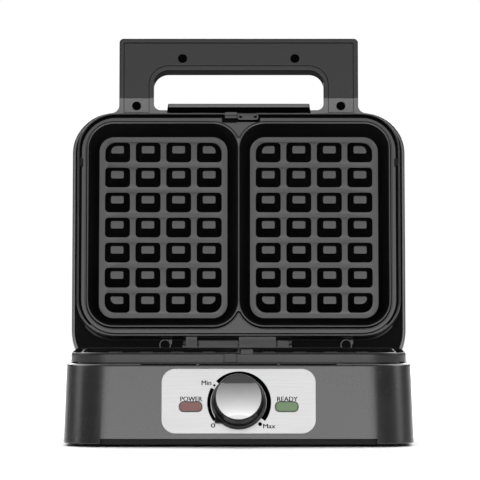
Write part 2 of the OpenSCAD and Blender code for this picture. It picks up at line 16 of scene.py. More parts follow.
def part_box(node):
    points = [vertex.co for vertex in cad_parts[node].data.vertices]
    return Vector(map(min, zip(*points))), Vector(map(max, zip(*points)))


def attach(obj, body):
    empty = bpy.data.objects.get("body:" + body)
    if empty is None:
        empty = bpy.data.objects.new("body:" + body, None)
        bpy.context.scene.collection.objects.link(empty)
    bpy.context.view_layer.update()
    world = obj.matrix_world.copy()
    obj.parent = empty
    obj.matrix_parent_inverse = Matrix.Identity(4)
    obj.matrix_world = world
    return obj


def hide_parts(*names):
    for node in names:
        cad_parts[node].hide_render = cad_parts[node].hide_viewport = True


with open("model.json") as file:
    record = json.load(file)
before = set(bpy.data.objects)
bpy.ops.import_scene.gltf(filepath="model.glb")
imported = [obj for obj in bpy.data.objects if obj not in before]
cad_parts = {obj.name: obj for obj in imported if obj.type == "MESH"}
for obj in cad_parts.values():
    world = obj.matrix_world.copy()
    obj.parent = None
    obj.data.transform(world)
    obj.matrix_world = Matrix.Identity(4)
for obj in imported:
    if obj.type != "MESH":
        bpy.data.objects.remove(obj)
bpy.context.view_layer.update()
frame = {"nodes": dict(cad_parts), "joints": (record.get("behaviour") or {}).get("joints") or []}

# ---- Driving dimensions, in millimetres ----

MM = 0.001
RIM_GAP = 0.15                      # half the gap between the closed rims
HOUSING_TOP = (269.3, 204.0)        # housing's width and depth at its upper edge
HOUSING_LOW_W = 274.0               # housing's width at its lower edge
HOUSING_R = 36.0
WALL = 2.6
FRONT_FROM_HINGE = 199.5            # housing's front upper edge
PANEL_SLOPE = math.radians(14)
SHELL = (270.8, 221.7)              # lid shell, across and along
SHELL_MID = 88.25
SHELL_R = (34.0, 39.0)              # corners at the handle and at the hinge
SHELL_RIM, SHELL_BACK = -12.0, -45.0
FRAME = (262.5, 186.9)              # plate frames
FRAME_R, FRAME_MID, FRAME_WALL = 31.0, 102.35, 1.5
SLEEVE, SLEEVE_R, SLEEVE_END, SLEEVE_T = (251.6, 176.4), 22.5, -25.5, 1.5
PLATE, PLATE_R, PLATE_MID = (256.2, 180.6), 28.0, 102.6
FLANGE, FLANGE_T = -3.8, 2.5
CAVITY, CAVITY_R, CAVITY_DEPTH, CAVITY_LEAN = (121.2, 168.5), 20.5, 12.5, 8.1
BEAD = 1.8
COLUMNS, ROWS = 4, 7                # pegs in each cavity
PEG_PITCH, PEG_BASE, PEG_TOP, PEG_H = (24.9, 21.0), (19.75, 16.0), (10.5, 6.4), 9.7
PEG_R, CORNER_PEG_R = (2.8, 1.5), (8.2, 4.8)   # at the foot and at the top
HANDLE_W, HANDLE_TOP, HANDLE_T = 195.4, 262.0, 19.5
GRIP_W, GRIP_BAR, STUB_TOP = 138.8, 26.9, 211.5
GUARD_W = 117.6                     # between the stubs' feet
LATCH_X = -6.4
FASCIA, FASCIA_R, FASCIA_S, FASCIA_T = (120.4, 51.8), 11.1, 29.8, 0.8
KNOB_S, KNOB_R, KNOB_FACE_R, KNOB_H = 31.0, 21.4, 18.5, 22.0
POINTER = math.radians(221.5)
LENS, LENS_R, LENS_X, LENS_S = (18.6, 8.4), 2.7, 37.4, 34.2

EDGE, SEAM = 3.5, 0.5               # handle's border beside its cover, and the seam between them
COVER_T = 2.3                       # thickness of the handle's cover
POCKET_LEFT, POCKET_RIGHT, POCKET_LOW, POCKET_HIGH, POCKET_T = -1.1, 16.1, 190.1, 194.9, 1.5

LEDGE = FLANGE - FLANGE_T           # the frames' ledge, on which a plate's flange rests
CAVITY_X = CAVITY[0] / 2 + 0.8
SHELL_HIGH = SHELL_MID + SHELL[1] / 2
GRIP_LOW = HANDLE_TOP - GRIP_BAR
BOSSES, BOSS_R, SCREW_HOLE_R = ((-59.6, 3.8), (87.1, 3.8)), 4.9, 3.65
STUB_SCREW = (83.5, 204.9)
GRIP_SCREW = (46.0, 245.1)

# ---- Places ----


def joint(name):
    return next(j for j in frame["joints"] if j["name"] == name)


HINGE = Vector(joint("lid_hinge")["pos_m"]) / MM
UPRIGHT = Vector(joint("upper_latch_press")["axis"])
LEAN = math.atan2(UPRIGHT.y, UPRIGHT.z)
HOUSING_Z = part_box("base_housing")[1][2] / MM
HOUSING_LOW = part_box("base_housing")[0][2] / MM
TOP_FRONT = HINGE.y - FRONT_FROM_HINGE
TOP_BACK = TOP_FRONT + HOUSING_TOP[1]
FRAME_LOW = HOUSING_Z + 1.3 - HINGE.z

ROW = Matrix.Scale(MM, 4)
TILT = Matrix.Rotation(math.pi / 2 - LEAN, 4, "X")
LID = ROW @ Matrix.Translation(HINGE) @ TILT
BASE = ROW @ Matrix.Translation(HINGE) @ Matrix.Diagonal((1, -1, 1, 1))
PANEL = ROW @ Matrix.Translation((0, TOP_FRONT, HOUSING_Z)) @ Matrix.Rotation(
    math.pi / 2 - PANEL_SLOPE, 4, "X")
SIDEWAYS = Matrix(((0, 0, 1, 0), (1, 0, 0, 0), (0, 1, 0, 0), (0, 0, 0, 1)))  # extrudes along x

# ---- Outlines, all anticlockwise ----


def rounded(corners, steps=8):
    """Outline of a polygon whose corners are (x, y, radius)."""
    line = []
    for i, (x, y, r) in enumerate(corners):
        here = Vector((x, y))
        back = (Vector(corners[i - 1][:2]) - here).normalized()
        ahead = (Vector(corners[(i + 1) % len(corners)][:2]) - here).normalized()
        if r <= 0:
            line.append(here)
            continue
        half = back.angle(ahead) / 2
        centre = here + (back + ahead).normalized() * r / math.sin(half)
        first = here + back * r / math.tan(half) - centre
        last = here + ahead * r / math.tan(half) - centre
        turn = math.atan2(first.x * last.y - first.y * last.x, first.dot(last))
        for k in range(steps + 1):
            a = turn * k / steps
            line.append(centre + Vector((first.x * math.cos(a) - first.y * math.sin(a),
                                         first.x * math.sin(a) + first.y * math.cos(a))))
    return line


def rect(x, y, w, h, r, steps=8):
    """A rounded rectangle about (x, y); r is one radius, or (far, near) for high and low y."""
    far, near = r if isinstance(r, tuple) else (r, r)
    return rounded([(x - w / 2, y - h / 2, near), (x + w / 2, y - h / 2, near),
                    (x + w / 2, y + h / 2, far), (x - w / 2, y + h / 2, far)], steps)


def circle(x, y, r, steps=48):
    return [Vector((x + r * math.cos(2 * math.pi * k / steps), y + r * math.sin(2 * math.pi * k / steps)))
            for k in range(steps)]


def inset(line, d):
    """The outline moved inward by d, point by point."""
    moved = []
    for i, here in enumerate(line):
        a = (here - line[i - 1]).normalized()
        b = (line[(i + 1) % len(line)] - here).normalized()
        n1, n2 = Vector((-a.y, a.x)), Vector((-b.y, b.x))
        moved.append(here + (n1 + n2) * d / max(1 + n1.dot(n2), 0.2))
    return moved


def soft_profile(low, high, soft_low, soft_high, steps=4):
    """(inset, height) pairs up a wall with rounded lower and upper edges."""
    quarter = [math.pi / 2 * k / steps for k in range(steps + 1)]
    lower = [(soft_low * (1 - math.sin(a)), low + soft_low * (1 - math.cos(a))) for a in quarter]
    upper = [(soft_high * (1 - math.cos(a)), high - soft_high * (1 - math.sin(a))) for a in quarter]
    return lower + upper


class Form:
    """Points and faces of a closed solid."""

    def __init__(self):
        self.points, self.faces = [], []

    def ring(self, line, z):
        start = len(self.points)
        self.points += [(p[0], p[1], z) for p in line]
        return list(range(start, len(self.points)))

    def bridge(self, a, b):
        for i in range(len(a)):
            j = (i + 1) % len(a)
            self.faces.append((a[i], a[j], b[j], b[i]))

    def cap(self, outer, *holes):
        loops = (outer, *holes)
        flat = [i for loop in loops for i in loop]
        spots = [[Vector(self.points[i]) for i in loop] for loop in loops]
        self.faces += [tuple(flat[i] for i in tri) for tri in tessellate_polygon(spots)]

    def stack(self, rings):
        """Joins (outline, height) rings and returns the first and the last of them."""
        made = [self.ring(line, z) for line, z in rings]
        for a, b in zip(made, made[1:]):
            self.bridge(a, b)
        return made[0], made[-1]

    def loft(self, rings):
        first, last = self.stack(rings)
        self.cap(first)
        self.cap(last)
        return self

    def sweep(self, rings):
        """A closed section carried round: the last ring joins the first."""
        first, last = self.stack(rings)
        self.bridge(last, first)
        return self

    def tablet(self, line, low, high, soft=0.3, soft_low=None, holes=()):
        """A flat solid between two heights with rounded edges, and holes with rounded edges.

        line is an outline, or a function that gives the outline drawn in by a distance.
        """
        profile = soft_profile(low, high, soft if soft_low is None else soft_low, soft)
        drawn = line if callable(line) else lambda d: inset(line, d)
        ends = [self.stack([(drawn(d), z) for d, z in profile])]
        for hole in holes:
            ends.append(self.stack([(inset(hole, -d), z) for d, z in profile]))
        for side in (0, 1):
            self.cap(*(e[side] for e in ends))
        return self

    def lathe(self, x, y, profile, steps=64):
        return self.loft([(circle(x, y, r, steps), z) for r, z in profile])

    def block(self, low, high):
        """A plain block between two opposite corners."""
        line = [Vector(p) for p in ((low[0], low[1]), (high[0], low[1]), (high[0], high[1]),
                                    (low[0], high[1]))]
        return self.loft([(line, low[2]), (line, high[2])])


def solid(name, form, place):
    mesh = bpy.data.meshes.new(name)
    mesh.from_pydata([place @ Vector(p) for p in form.points], [], form.faces)
    work = bmesh.new()
    work.from_mesh(mesh)
    bmesh.ops.remove_doubles(work, verts=work.verts, dist=1e-7)
    bmesh.ops.recalc_face_normals(work, faces=work.faces)
    work.to_mesh(mesh)
    work.free()
    obj = bpy.data.objects.new(name, mesh)
    bpy.context.scene.collection.objects.link(obj)
    return obj


def carve(obj, cutters):
    """Cuts the cutters out of obj and removes them."""
    for cutter in cutters:
        cut = obj.modifiers.new("cut", "BOOLEAN")
        cut.operation, cut.solver, cut.object = "DIFFERENCE", "EXACT", cutter
    shown = obj.evaluated_get(bpy.context.evaluated_depsgraph_get())
    mesh = bpy.data.meshes.new_from_object(shown)
    obj.modifiers.clear()
    obj.data = mesh
    for cutter in cutters:
        bpy.data.objects.remove(cutter)


def piece(name, form, place, slot, body, replaces=(), cutters=(), finish=None):
    """Makes a visible piece that rides a body; its finish is the slot's unless another is named."""
    obj = solid(name, form, place)
    if cutters:
        carve(obj, [solid(f"{name}.cut{i}", c, place) for i, c in enumerate(cutters)])
    obj.data.shade_smooth()
    obj.data.set_sharp_from_angle(angle=math.radians(35))
    normals = obj.modifiers.new("normals", "WEIGHTED_NORMAL")
    normals.keep_sharp = True
    obj.data.materials.clear()
    obj.data.materials.append(MATERIALS[finish or slot])
    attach(obj, body)
    if replaces:
        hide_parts(*replaces)
    return obj


def recolour(obj, place, finish, wanted):
    """Gives another finish to the faces wanted by their normal and middle in the local frame."""
    obj.data.materials.append(MATERIALS[finish])
    back_turn, back = place.to_3x3().inverted(), place.inverted()
    for face in obj.data.polygons:
        if wanted((back_turn @ face.normal).normalized(), back @ face.center):
            face.material_index = len(obj.data.materials) - 1


# ---- Materials ----


def grey(level):
    """Linear value of an sRGB level from 0 to 255."""
    v = level / 255
    return v / 12.92 if v <= 0.04045 else ((v + 0.055) / 1.055) ** 2.4


def colour(*levels):
    levels = levels * 3 if len(levels) == 1 else levels
    return tuple(grey(v) for v in levels) + (1,)


def make_material(name, dark, light, rough, grain, depth, stretch=(1, 1, 1), tone=18, **shader):
    """A finish whose tone and roughness drift slowly and whose surface has a fine relief.

    dark and light are the two tones, rough the two roughnesses, grain the relief's fineness in
    cells a metre, depth its height in metres, and stretch draws both out along an axis.
    """
    material = bpy.data.materials.new(name)
    material.use_nodes = True
    tree = material.node_tree
    tree.nodes.clear()
    out = tree.nodes.new("ShaderNodeOutputMaterial")
    skin = tree.nodes.new("ShaderNodeBsdfPrincipled")
    tree.links.new(skin.outputs["BSDF"], out.inputs["Surface"])
    spot = tree.nodes.new("ShaderNodeTexCoord")
    drawn = tree.nodes.new("ShaderNodeMapping")
    drawn.inputs["Scale"].default_value = stretch
    tree.links.new(spot.outputs["Object"], drawn.inputs["Vector"])

    def noise(scale, detail):
        node = tree.nodes.new("ShaderNodeTexNoise")
        node.inputs["Scale"].default_value = scale
        node.inputs["Detail"].default_value = detail
        tree.links.new(drawn.outputs["Vector"], node.inputs["Vector"])
        return node.outputs["Fac"]

    slow, fine = noise(tone, 5), noise(grain, 3)
    ramp = tree.nodes.new("ShaderNodeValToRGB")
    ramp.color_ramp.elements[0].position, ramp.color_ramp.elements[0].color = 0.3, dark
    ramp.color_ramp.elements[1].position, ramp.color_ramp.elements[1].color = 0.7, light
    tree.links.new(slow, ramp.inputs["Fac"])
    tree.links.new(ramp.outputs["Color"], skin.inputs["Base Color"])
    spread = tree.nodes.new("ShaderNodeMapRange")
    spread.inputs["From Min"].default_value, spread.inputs["From Max"].default_value = 0.3, 0.7
    spread.inputs["To Min"].default_value, spread.inputs["To Max"].default_value = rough
    tree.links.new(slow, spread.inputs["Value"])
    tree.links.new(spread.outputs["Result"], skin.inputs["Roughness"])
    bump = tree.nodes.new("ShaderNodeBump")
    bump.inputs["Strength"].default_value = 1
    bump.inputs["Distance"].default_value = depth
    tree.links.new(fine, bump.inputs["Height"])
    tree.links.new(bump.outputs["Normal"], skin.inputs["Normal"])
    for socket, value in shader.items():
        skin.inputs[socket.replace("_", " ")].default_value = value
    return material


# name: (two tones, two roughnesses, grain, depth, specular level)
GREYS = {
    "housing_plastic": ((36, 41), (0.25, 0.3), 2600, 6e-6, 0.84),
    "lid_plastic": ((58, 64), (0.3, 0.36), 2600, 6e-6, 1.0),
    "dark_plastic": ((26, 30), (0.34, 0.4), 2200, 8e-6, 0.4),
    # the bottom cover's own dark plastic, with its sheen lowered as painted shade under the base
    "skirt_plastic_painted_shade": ((26, 30), (0.45, 0.5), 2200, 8e-6, 0.12),
    "frame_plastic": ((22, 26), (0.3, 0.36), 2400, 6e-6, 0.7),
    "hinge_grey": ((82, 88), (0.5, 0.58), 2400, 6e-6, 0.4),
    "handle_plastic": ((20, 24), (0.32, 0.38), 2400, 8e-6, 0.37),
    # painted shade: the handle's own plastic without sheen, for the faces under the grip
    "grip_underside_painted_shade": ((42, 48), (0.5, 0.6), 2200, 8e-6, 0.0),
    "nonstick": ((22, 26), (0.3, 0.36), 1500, 1e-5, 0.7),
    # painted shade: a darker, duller copy of the nonstick coating for the plates' steep walls
    "nonstick_painted_shade": ((5, 8), (0.5, 0.6), 1500, 1e-5, 0.08),
    "shadow_black": ((6, 9), (0.5, 0.6), 1500, 1e-5, 0.05),
    "knob_plastic": ((6, 9), (0.25, 0.34), 1800, 4e-6, 0.05),
    "ink": ((4, 6), (0.5, 0.6), 1800, 1e-6, 0.0),
    "gloss_black": ((5, 7), (0.06, 0.12), 260, 1e-6, 0.6),
    "rubber": ((20, 26), (0.6, 0.75), 1400, 2e-5, 0.2),
    "ceramic": ((202, 212), (0.5, 0.65), 900, 2e-5, 0.5),
}
# the same, with how metallic it is last
METALS = {
    "steel": ((110, 120), (0.28, 0.4), 900, 4e-6, 1.0),
    "dark_steel": ((60, 70), (0.3, 0.42), 900, 4e-6, 1.0),
    "sheet_aluminium": ((140, 152), (0.3, 0.45), 700, 4e-6, 1.0),
    "heater_sheath": ((50, 66), (0.45, 0.65), 500, 1e-5, 0.8),
    "chrome": ((117, 120), (0.03, 0.05), 300, 1e-7, 1.0),
}
MATERIALS = {}
for name, (tones, rough, grain, depth, level) in GREYS.items():
    MATERIALS[name] = make_material(name, *map(colour, tones), rough, grain, depth,
                                    Specular_IOR_Level=level)
for name, (tones, rough, grain, depth, level) in METALS.items():
    MATERIALS[name] = make_material(name, *map(colour, tones), rough, grain, depth, Metallic=level)
for name, dark, light in (("red_lens", (126, 88, 86), (136, 96, 94)),
                          ("green_lens", (108, 132, 96), (116, 140, 104))):
    MATERIALS[name] = make_material(name, colour(*dark), colour(*light), (0.3, 0.4), 420, 4e-6,
                                    Specular_IOR_Level=0.25)
MATERIALS["fascia_metal"] = make_material(
    "fascia_metal", colour(157), colour(167), (0.3, 0.42), 4200, 2e-6,
    stretch=(0.03, 1, 1), tone=900, Metallic=1.0)
MATERIALS["lamp_glass"] = make_material(
    "lamp_glass", colour(225), colour(238), (0.05, 0.1), 300, 1e-6, Transmission_Weight=0.8)
MATERIALS["wire_cover"] = make_material(
    "wire_cover", colour(130, 50, 42), colour(145, 58, 48), (0.4, 0.5), 1200, 1e-5)

# ---- Camera, lights and floor ----

CAMERA_AT = (0.00105, -5.426, 0.198)
CAMERA_DIP = math.radians(0.4)      # how far the camera looks down
camera = bpy.data.objects.new("camera", bpy.data.cameras.new("camera"))
camera.data.lens, camera.data.sensor_width = 509.6, 36
camera.data.clip_end = 50
camera.location = CAMERA_AT
camera.rotation_euler = (math.pi / 2 - CAMERA_DIP, 0, 0)
bpy.context.scene.collection.objects.link(camera)
bpy.context.scene.camera = camera
bpy.context.scene.view_settings.view_transform = "Standard"


AIM_Z = 0.15                        # height of the object's middle


def softbox(name, azimuth, elevation, distance, size, radiance):
    """A rectangular light aimed at the middle of the object; azimuth 0 is straight in front."""
    light = bpy.data.lights.new(name, "AREA")
    light.shape, light.size, light.size_y = "RECTANGLE", *size
    light.energy = 4 * size[0] * size[1] * radiance
    obj = bpy.data.objects.new(name, light)
    a, e = math.radians(azimuth), math.radians(elevation)
    way = Vector((math.sin(a) * math.cos(e), -math.cos(a) * math.cos(e), math.sin(e)))
    obj.location = Vector((0, 0, AIM_Z)) + way * distance
    obj.rotation_euler = (-way).to_track_quat("-Z", "Y").to_euler()
    bpy.context.scene.collection.objects.link(obj)


FRONT_WIDE = 22                     # half the front light's width, in degrees
FAR = 8.0                           # how far the large lights stand, in metres
# elevations at which the front light starts, starts to fade and ends, and at which a dim band ends
FRONT_LOW, FADE_LOW, FADE_HIGH, BAND_HIGH = -8.0, 13.0, 34.0, 46.0
FADE_STEPS = 14
front_w = 2 * FAR * math.tan(math.radians(FRONT_WIDE))


def front_band(name, low, high, radiance):
    """A band of the front light between two elevations in degrees."""
    height = 2 * FAR * math.tan(math.radians(high - low) / 2)
    softbox(name, 0, (low + high) / 2, FAR, (front_w, height), radiance)


front_band("front_low", FRONT_LOW, FADE_LOW, 3.3)
step = (FADE_HIGH - FADE_LOW) / FADE_STEPS
for i in range(FADE_STEPS):
    share = (i + 0.5) / FADE_STEPS
    low = FADE_LOW + step * i
    front_band(f"front_strip_{i}", low, low + step, 4.8 - 3.85 * share ** 0.536)
front_band("front_top", FADE_HIGH, BAND_HIGH, 0.28)
# a low light behind leaves a thin shadow before the base
softbox("back_low", 180, 20, FAR, (FAR, FAR * math.radians(14)), 7.0)
for side in (-1, 1):
    softbox(f"side_{side}", 92 * side, 24, 2.6, (0.9, 1.4), 1.2)

world = bpy.data.worlds.new("studio")
world.use_nodes = True
bpy.context.scene.world = world
sky = world.node_tree
sky.nodes.clear()
sky_out = sky.nodes.new("ShaderNodeOutputWorld")
glow = sky.nodes.new("ShaderNodeBackground")
where = sky.nodes.new("ShaderNodeTexCoord")
split = sky.nodes.new("ShaderNodeSeparateXYZ")
fade = sky.nodes.new("ShaderNodeValToRGB")
sky.links.new(where.outputs["Generated"], split.inputs["Vector"])
sky.links.new(split.outputs["Z"], fade.inputs["Fac"])
dome_fade = sky.nodes.new("ShaderNodeValToRGB")
behind = sky.nodes.new("ShaderNodeMapRange")
both = sky.nodes.new("ShaderNodeVectorMath")
both.operation = "MULTIPLY_ADD"
sky.links.new(split.outputs["Z"], dome_fade.inputs["Fac"])
sky.links.new(split.outputs["Y"], behind.inputs["Value"])
behind.inputs["From Min"].default_value, behind.inputs["From Max"].default_value = -0.05, 0.25


def set_stops(ramp, stops):
    """Fills a two-stop ramp with grey levels."""
    for _ in stops[2:]:
        ramp.color_ramp.elements.new(0.5)
    for element, (position, level) in zip(ramp.color_ramp.elements, stops):
        element.position, element.color = position, (level, level, level, 1)


# white up to just above the horizon, so that the floor has no visible end
set_stops(fade, ((0.035, 1.0), (0.06, 0.02)))
# the ceiling's light comes from overhead and behind, and leaves a shadow before the base
set_stops(dome_fade, ((0.34, 0.0), (0.52, 3.1)))
sky.links.new(dome_fade.outputs["Color"], both.inputs[0])
sky.links.new(behind.outputs["Result"], both.inputs[1])
sky.links.new(fade.outputs["Color"], both.inputs[2])
sky.links.new(both.outputs["Vector"], glow.inputs["Color"])
glow.inputs["Strength"].default_value = 1.02
sky.links.new(glow.outputs["Background"], sky_out.inputs["Surface"])

floor_material = make_material("floor", colour(250), colour(252), (0.7, 0.8), 60, 1e-5,
                               Specular_IOR_Level=0.1)
floor_mesh = bpy.data.meshes.new("floor")
REACH = 3                           # half the floor's width, in metres
floor_mesh.from_pydata([(-REACH, -REACH, 0), (REACH, -REACH, 0), (REACH, REACH, 0), (-REACH, REACH, 0)],
                       [], [(0, 1, 2, 3)])
floor_mesh.materials.append(floor_material)
floor = bpy.data.objects.new("floor", floor_mesh)
bpy.context.scene.collection.objects.link(floor)

# ---- Base housing ----


def housing_line(z, t):
    """The housing's outline at height z, drawn in by t."""
    down = HOUSING_Z - z
    share = down / (HOUSING_Z - HOUSING_LOW)
    front = TOP_FRONT - down * math.tan(PANEL_SLOPE) + t
    back = TOP_BACK + 1.4 * share - t
    width = HOUSING_TOP[0] + (HOUSING_LOW_W - HOUSING_TOP[0]) * share - 2 * t
    return rect(0, (front + back) / 2, width, back - front, HOUSING_R - t, 16)


def frame_line(d, size=FRAME, r=FRAME_R, mid=FRAME_MID, steps=16):
    """A plate frame's outline, drawn in by d."""
    return rect(0, mid, size[0] - 2 * d, size[1] - 2 * d, r - d, steps)


def row_line(line):
    """An outline of the base's place in the row frame."""
    return [Vector((p.x, HINGE.y - p.y)) for p in reversed(line)]


CORNER_POINTS = 17                  # points in each corner of the outlines joined here
opening = row_line(frame_line(-0.5, SLEEVE, SLEEVE_R))
# known fault: this shift joins the rings one corner off, so that flat faces lie across the opening
# and show in the lower plate's cavities from above; without it the rings start at one corner
opening = opening[CORNER_POINTS:] + opening[:CORNER_POINTS]
housing = Form().sweep(
    [(housing_line(z, d), z) for d, z in soft_profile(HOUSING_LOW, HOUSING_Z, 0.8, 2.0)]
    + [(opening, HOUSING_Z), (opening, HOUSING_Z - WALL)]
    + [(housing_line(z, WALL), z) for z in (HOUSING_Z - WALL, HOUSING_LOW)])
UNDERCUT = 108.0                    # half the width of the recess under the front
piece("base_housing_shell", housing, ROW, "housing_plastic", "base", ["base_housing"], cutters=[
    Form().block((-UNDERCUT, TOP_FRONT - 30, 0), (UNDERCUT, TOP_FRONT - 7, 6.5))])

# ---- Plate frames ----


def frame_rings(wall_low, ledge_low, crown):
    """The frame's section above wall_low, from the outer face over the rim to the sleeve's end."""
    inner = FRAME_WALL
    rim = ((0, wall_low), (0, -RIM_GAP - crown), (0.12, -RIM_GAP - 0.6 * crown),
           (0.45, -RIM_GAP - 0.25 * crown), (0.9, -RIM_GAP), (inner - 0.2, -RIM_GAP),
           (inner, -RIM_GAP - 0.25), (inner, LEDGE))
    sleeve = ((SLEEVE_T, LEDGE), (SLEEVE_T, SLEEVE_END), (0, SLEEVE_END), (0, ledge_low))
    return ([(frame_line(d), w) for d, w in rim]
            + [(frame_line(d, SLEEVE, SLEEVE_R), w) for d, w in sleeve])


def latch_slot():
    """A cutter for a plate latch's slot in a frame."""
    return Form().block((LATCH_X - 5.2, 187, -7.8), (LATCH_X + 5.2, 202, 1))



base_frame = Form().sweep(frame_rings(FRAME_LOW, FRAME_LOW, 2.2) + [(frame_line(SLEEVE_T), FRAME_LOW)])
# pads between the housing and the frame
for x, w in ((-81.7, 11.7), (-31.0, 2.3), (31.3, 2.3), (82.4, 12.5)):
    for u in (192.0, 12.2):
        base_frame.tablet(rect(x, u, w, 5, 0.6, 4), HOUSING_Z - HINGE.z, FRAME_LOW + 0.5, 0.1)
for x in (-128, 128):
    for u in (145.0, 55.0):
        base_frame.tablet(rect(x, u, 5, 8, 0.6, 4), HOUSING_Z - HINGE.z, FRAME_LOW + 0.5, 0.1)
piece("base_plate_frame_moulding", base_frame, BASE, "dark_plastic", "base", ["base_plate_frame"],
      cutters=[latch_slot()])
# the tongue at the lip that enters the lid's pocket
FRONTAL = Matrix(((1, 0, 0, 0), (0, 0, 1, 0), (0, 1, 0, 0), (0, 0, 0, 1)))   # (x, height, depth)
tongue_line = rounded([(0.9, -6.6, 0.3), (12.0, -6.6, 0.3), (11.2, 2.6, 0.8), (1.8, 2.6, 0.8)], 4)
tongue = Form().tablet(tongue_line, 194.1, 195.5, 0.3)
piece("closing_tongue", tongue, BASE @ FRONTAL, "dark_plastic", "base")

lid_inner = (SHELL[0] - 2 * WALL - 0.5, SHELL[1] - 2 * WALL - 0.5)


def mouth_line(d):
    return rect(0, SHELL_MID, lid_inner[0] - 2 * d, lid_inner[1] - 2 * d,
                (SHELL_R[0] - WALL - 0.25 - d, SHELL_R[1] - WALL - 0.25 - d), 16)


mouth_cover = Form().sweep([(frame_line(-0.6), SHELL_RIM), (frame_line(-0.6), SHELL_RIM - 2),
                            (mouth_line(0.3), SHELL_RIM - 2), (mouth_line(0), SHELL_RIM - 1.7),
                            (mouth_line(0), SHELL_RIM - 0.3), (mouth_line(0.3), SHELL_RIM)])
piece("lid_mouth_cover", mouth_cover, LID, "frame_plastic", "lid", ["lid_plate_frame"],
      finish="shadow_black")
lid_frame = Form().sweep(
    [(frame_line(-0.7), SHELL_RIM - 0.2), (frame_line(-0.7), SHELL_RIM + 0.6),
     (frame_line(-0.1), SHELL_RIM + 0.9)]
    + frame_rings(SHELL_RIM + 1.4, LEDGE - 2, 1.0)
    + [(frame_line(SLEEVE_T), LEDGE - 2), (frame_line(SLEEVE_T), SHELL_RIM - 0.2)])
# ring bosses near the hinge, each with a small rib
for x, u in BOSSES:
    lid_frame.tablet(circle(x, u, BOSS_R), SHELL_RIM - 0.5, SHELL_RIM + 3.5, 0.3,
                     holes=[circle(x, u, SCREW_HOLE_R)])
    lid_frame.tablet(rect(x + 4.4, u + 2.6, 2.6, 4.2, 0.3, 3), SHELL_RIM - 0.5, SHELL_RIM + 3.2, 0.2)
# the pocket's U-shaped wall and the block inside it
inner_left, inner_right = POCKET_LEFT + POCKET_T, POCKET_RIGHT - POCKET_T
inner_low = POCKET_LOW + POCKET_T
pocket_wall = rounded([
    (POCKET_LEFT, POCKET_HIGH, 0.1), (POCKET_LEFT, POCKET_LOW, 2.2), (POCKET_RIGHT, POCKET_LOW, 2.2),
    (POCKET_RIGHT, POCKET_HIGH, 0.1), (inner_right, POCKET_HIGH, 0.1), (inner_right, inner_low, 0.8),
    (inner_left, inner_low, 0.8), (inner_left, POCKET_HIGH, 0.1)], 6)
pocket = Form().tablet(pocket_wall, LEDGE - 0.5, -RIM_GAP, 0.25)
pocket.tablet(rect((inner_left + inner_right) / 2, 193.4, 9.8, 3.6, 0.3, 3), LEDGE - 0.5, -3.5, 0.2)
pocket_piece = piece("latch_pocket_wall", pocket, LID, "frame_plastic", "lid", ["lid_plate_frame"])
recolour(pocket_piece, LID, "shadow_black", lambda normal, at: abs(normal.z) < 0.3)
lid_frame_piece = piece(
    "lid_plate_frame_moulding", lid_frame, LID, "frame_plastic", "lid", ["lid_plate_frame"],
    cutters=[latch_slot(), Form().block((inner_left, 193.8, -3.5), (inner_right, 202, 1))])
# the channel round the plate and the upright walls towards the latch are in shadow
recolour(lid_frame_piece, LID, "shadow_black",
         lambda normal, at: (at.y > 20 and at.z < -4 and normal.z > 0.5)
         or (at.y > 150 and abs(normal.z) < 0.3))

# ---- Cooking plates ----


def pair_line(d, steps=10):
    """Outline round both cavities at d outside them; the two join in a rounded notch."""
    r = CAVITY_R + d
    cx, cy = CAVITY_X - CAVITY[0] / 2 + CAVITY_R, CAVITY[1] / 2 - CAVITY_R
    far = CAVITY_X + CAVITY[0] / 2 - CAVITY_R
    fillet = max(3.3 - d, 0.3)
    notch = cy + math.sqrt((r + fillet) ** 2 - cx ** 2)
    lean = math.atan2(notch - cy, -cx)

    def arc(x, y, radius, a, b):
        return [Vector((x + radius * math.cos(a + (b - a) * k / steps),
                        y + radius * math.sin(a + (b - a) * k / steps))) for k in range(steps + 1)]

    half = math.pi / 2
    right = arc(cx, -cy, r, 2 * math.pi - lean, 3 * half)
    right += arc(far, -cy, r, -half, 0) + arc(far, cy, r, 0, half) + arc(cx, cy, r, half, lean)
    top = arc(0, notch, fillet, lean - math.pi, -lean)
    left = [Vector((-p.x, p.y)) for p in reversed(right)]
    low = [Vector((p.x, -p.y)) for p in reversed(top)]
    return right + top[1:-1] + left + low[1:-1]


def cavity_line(x, t):
    return rect(x, 0, CAVITY[0] - 2 * t, CAVITY[1] - 2 * t, CAVITY_R - t, 12)


def peg_line(x, y, column, row, h, grow):
    """A peg's outline at height h; the four corner pegs have one large outer corner."""
    share = h / PEG_H
    w, l = (b + (t - b) * share + 2 * grow for b, t in zip(PEG_BASE, PEG_TOP))
    small, big = (b + (t - b) * share + grow for b, t in (PEG_R, CORNER_PEG_R))
    radius = {(a, b): big if column == a and row == b else small for a in (-1, 1) for b in (-1, 1)}
    corners = [(x + a * w / 2, y + b * l / 2, radius[(a, b)])
               for a, b in ((-1, -1), (1, -1), (1, 1), (-1, 1))]
    return rounded(corners, 5)


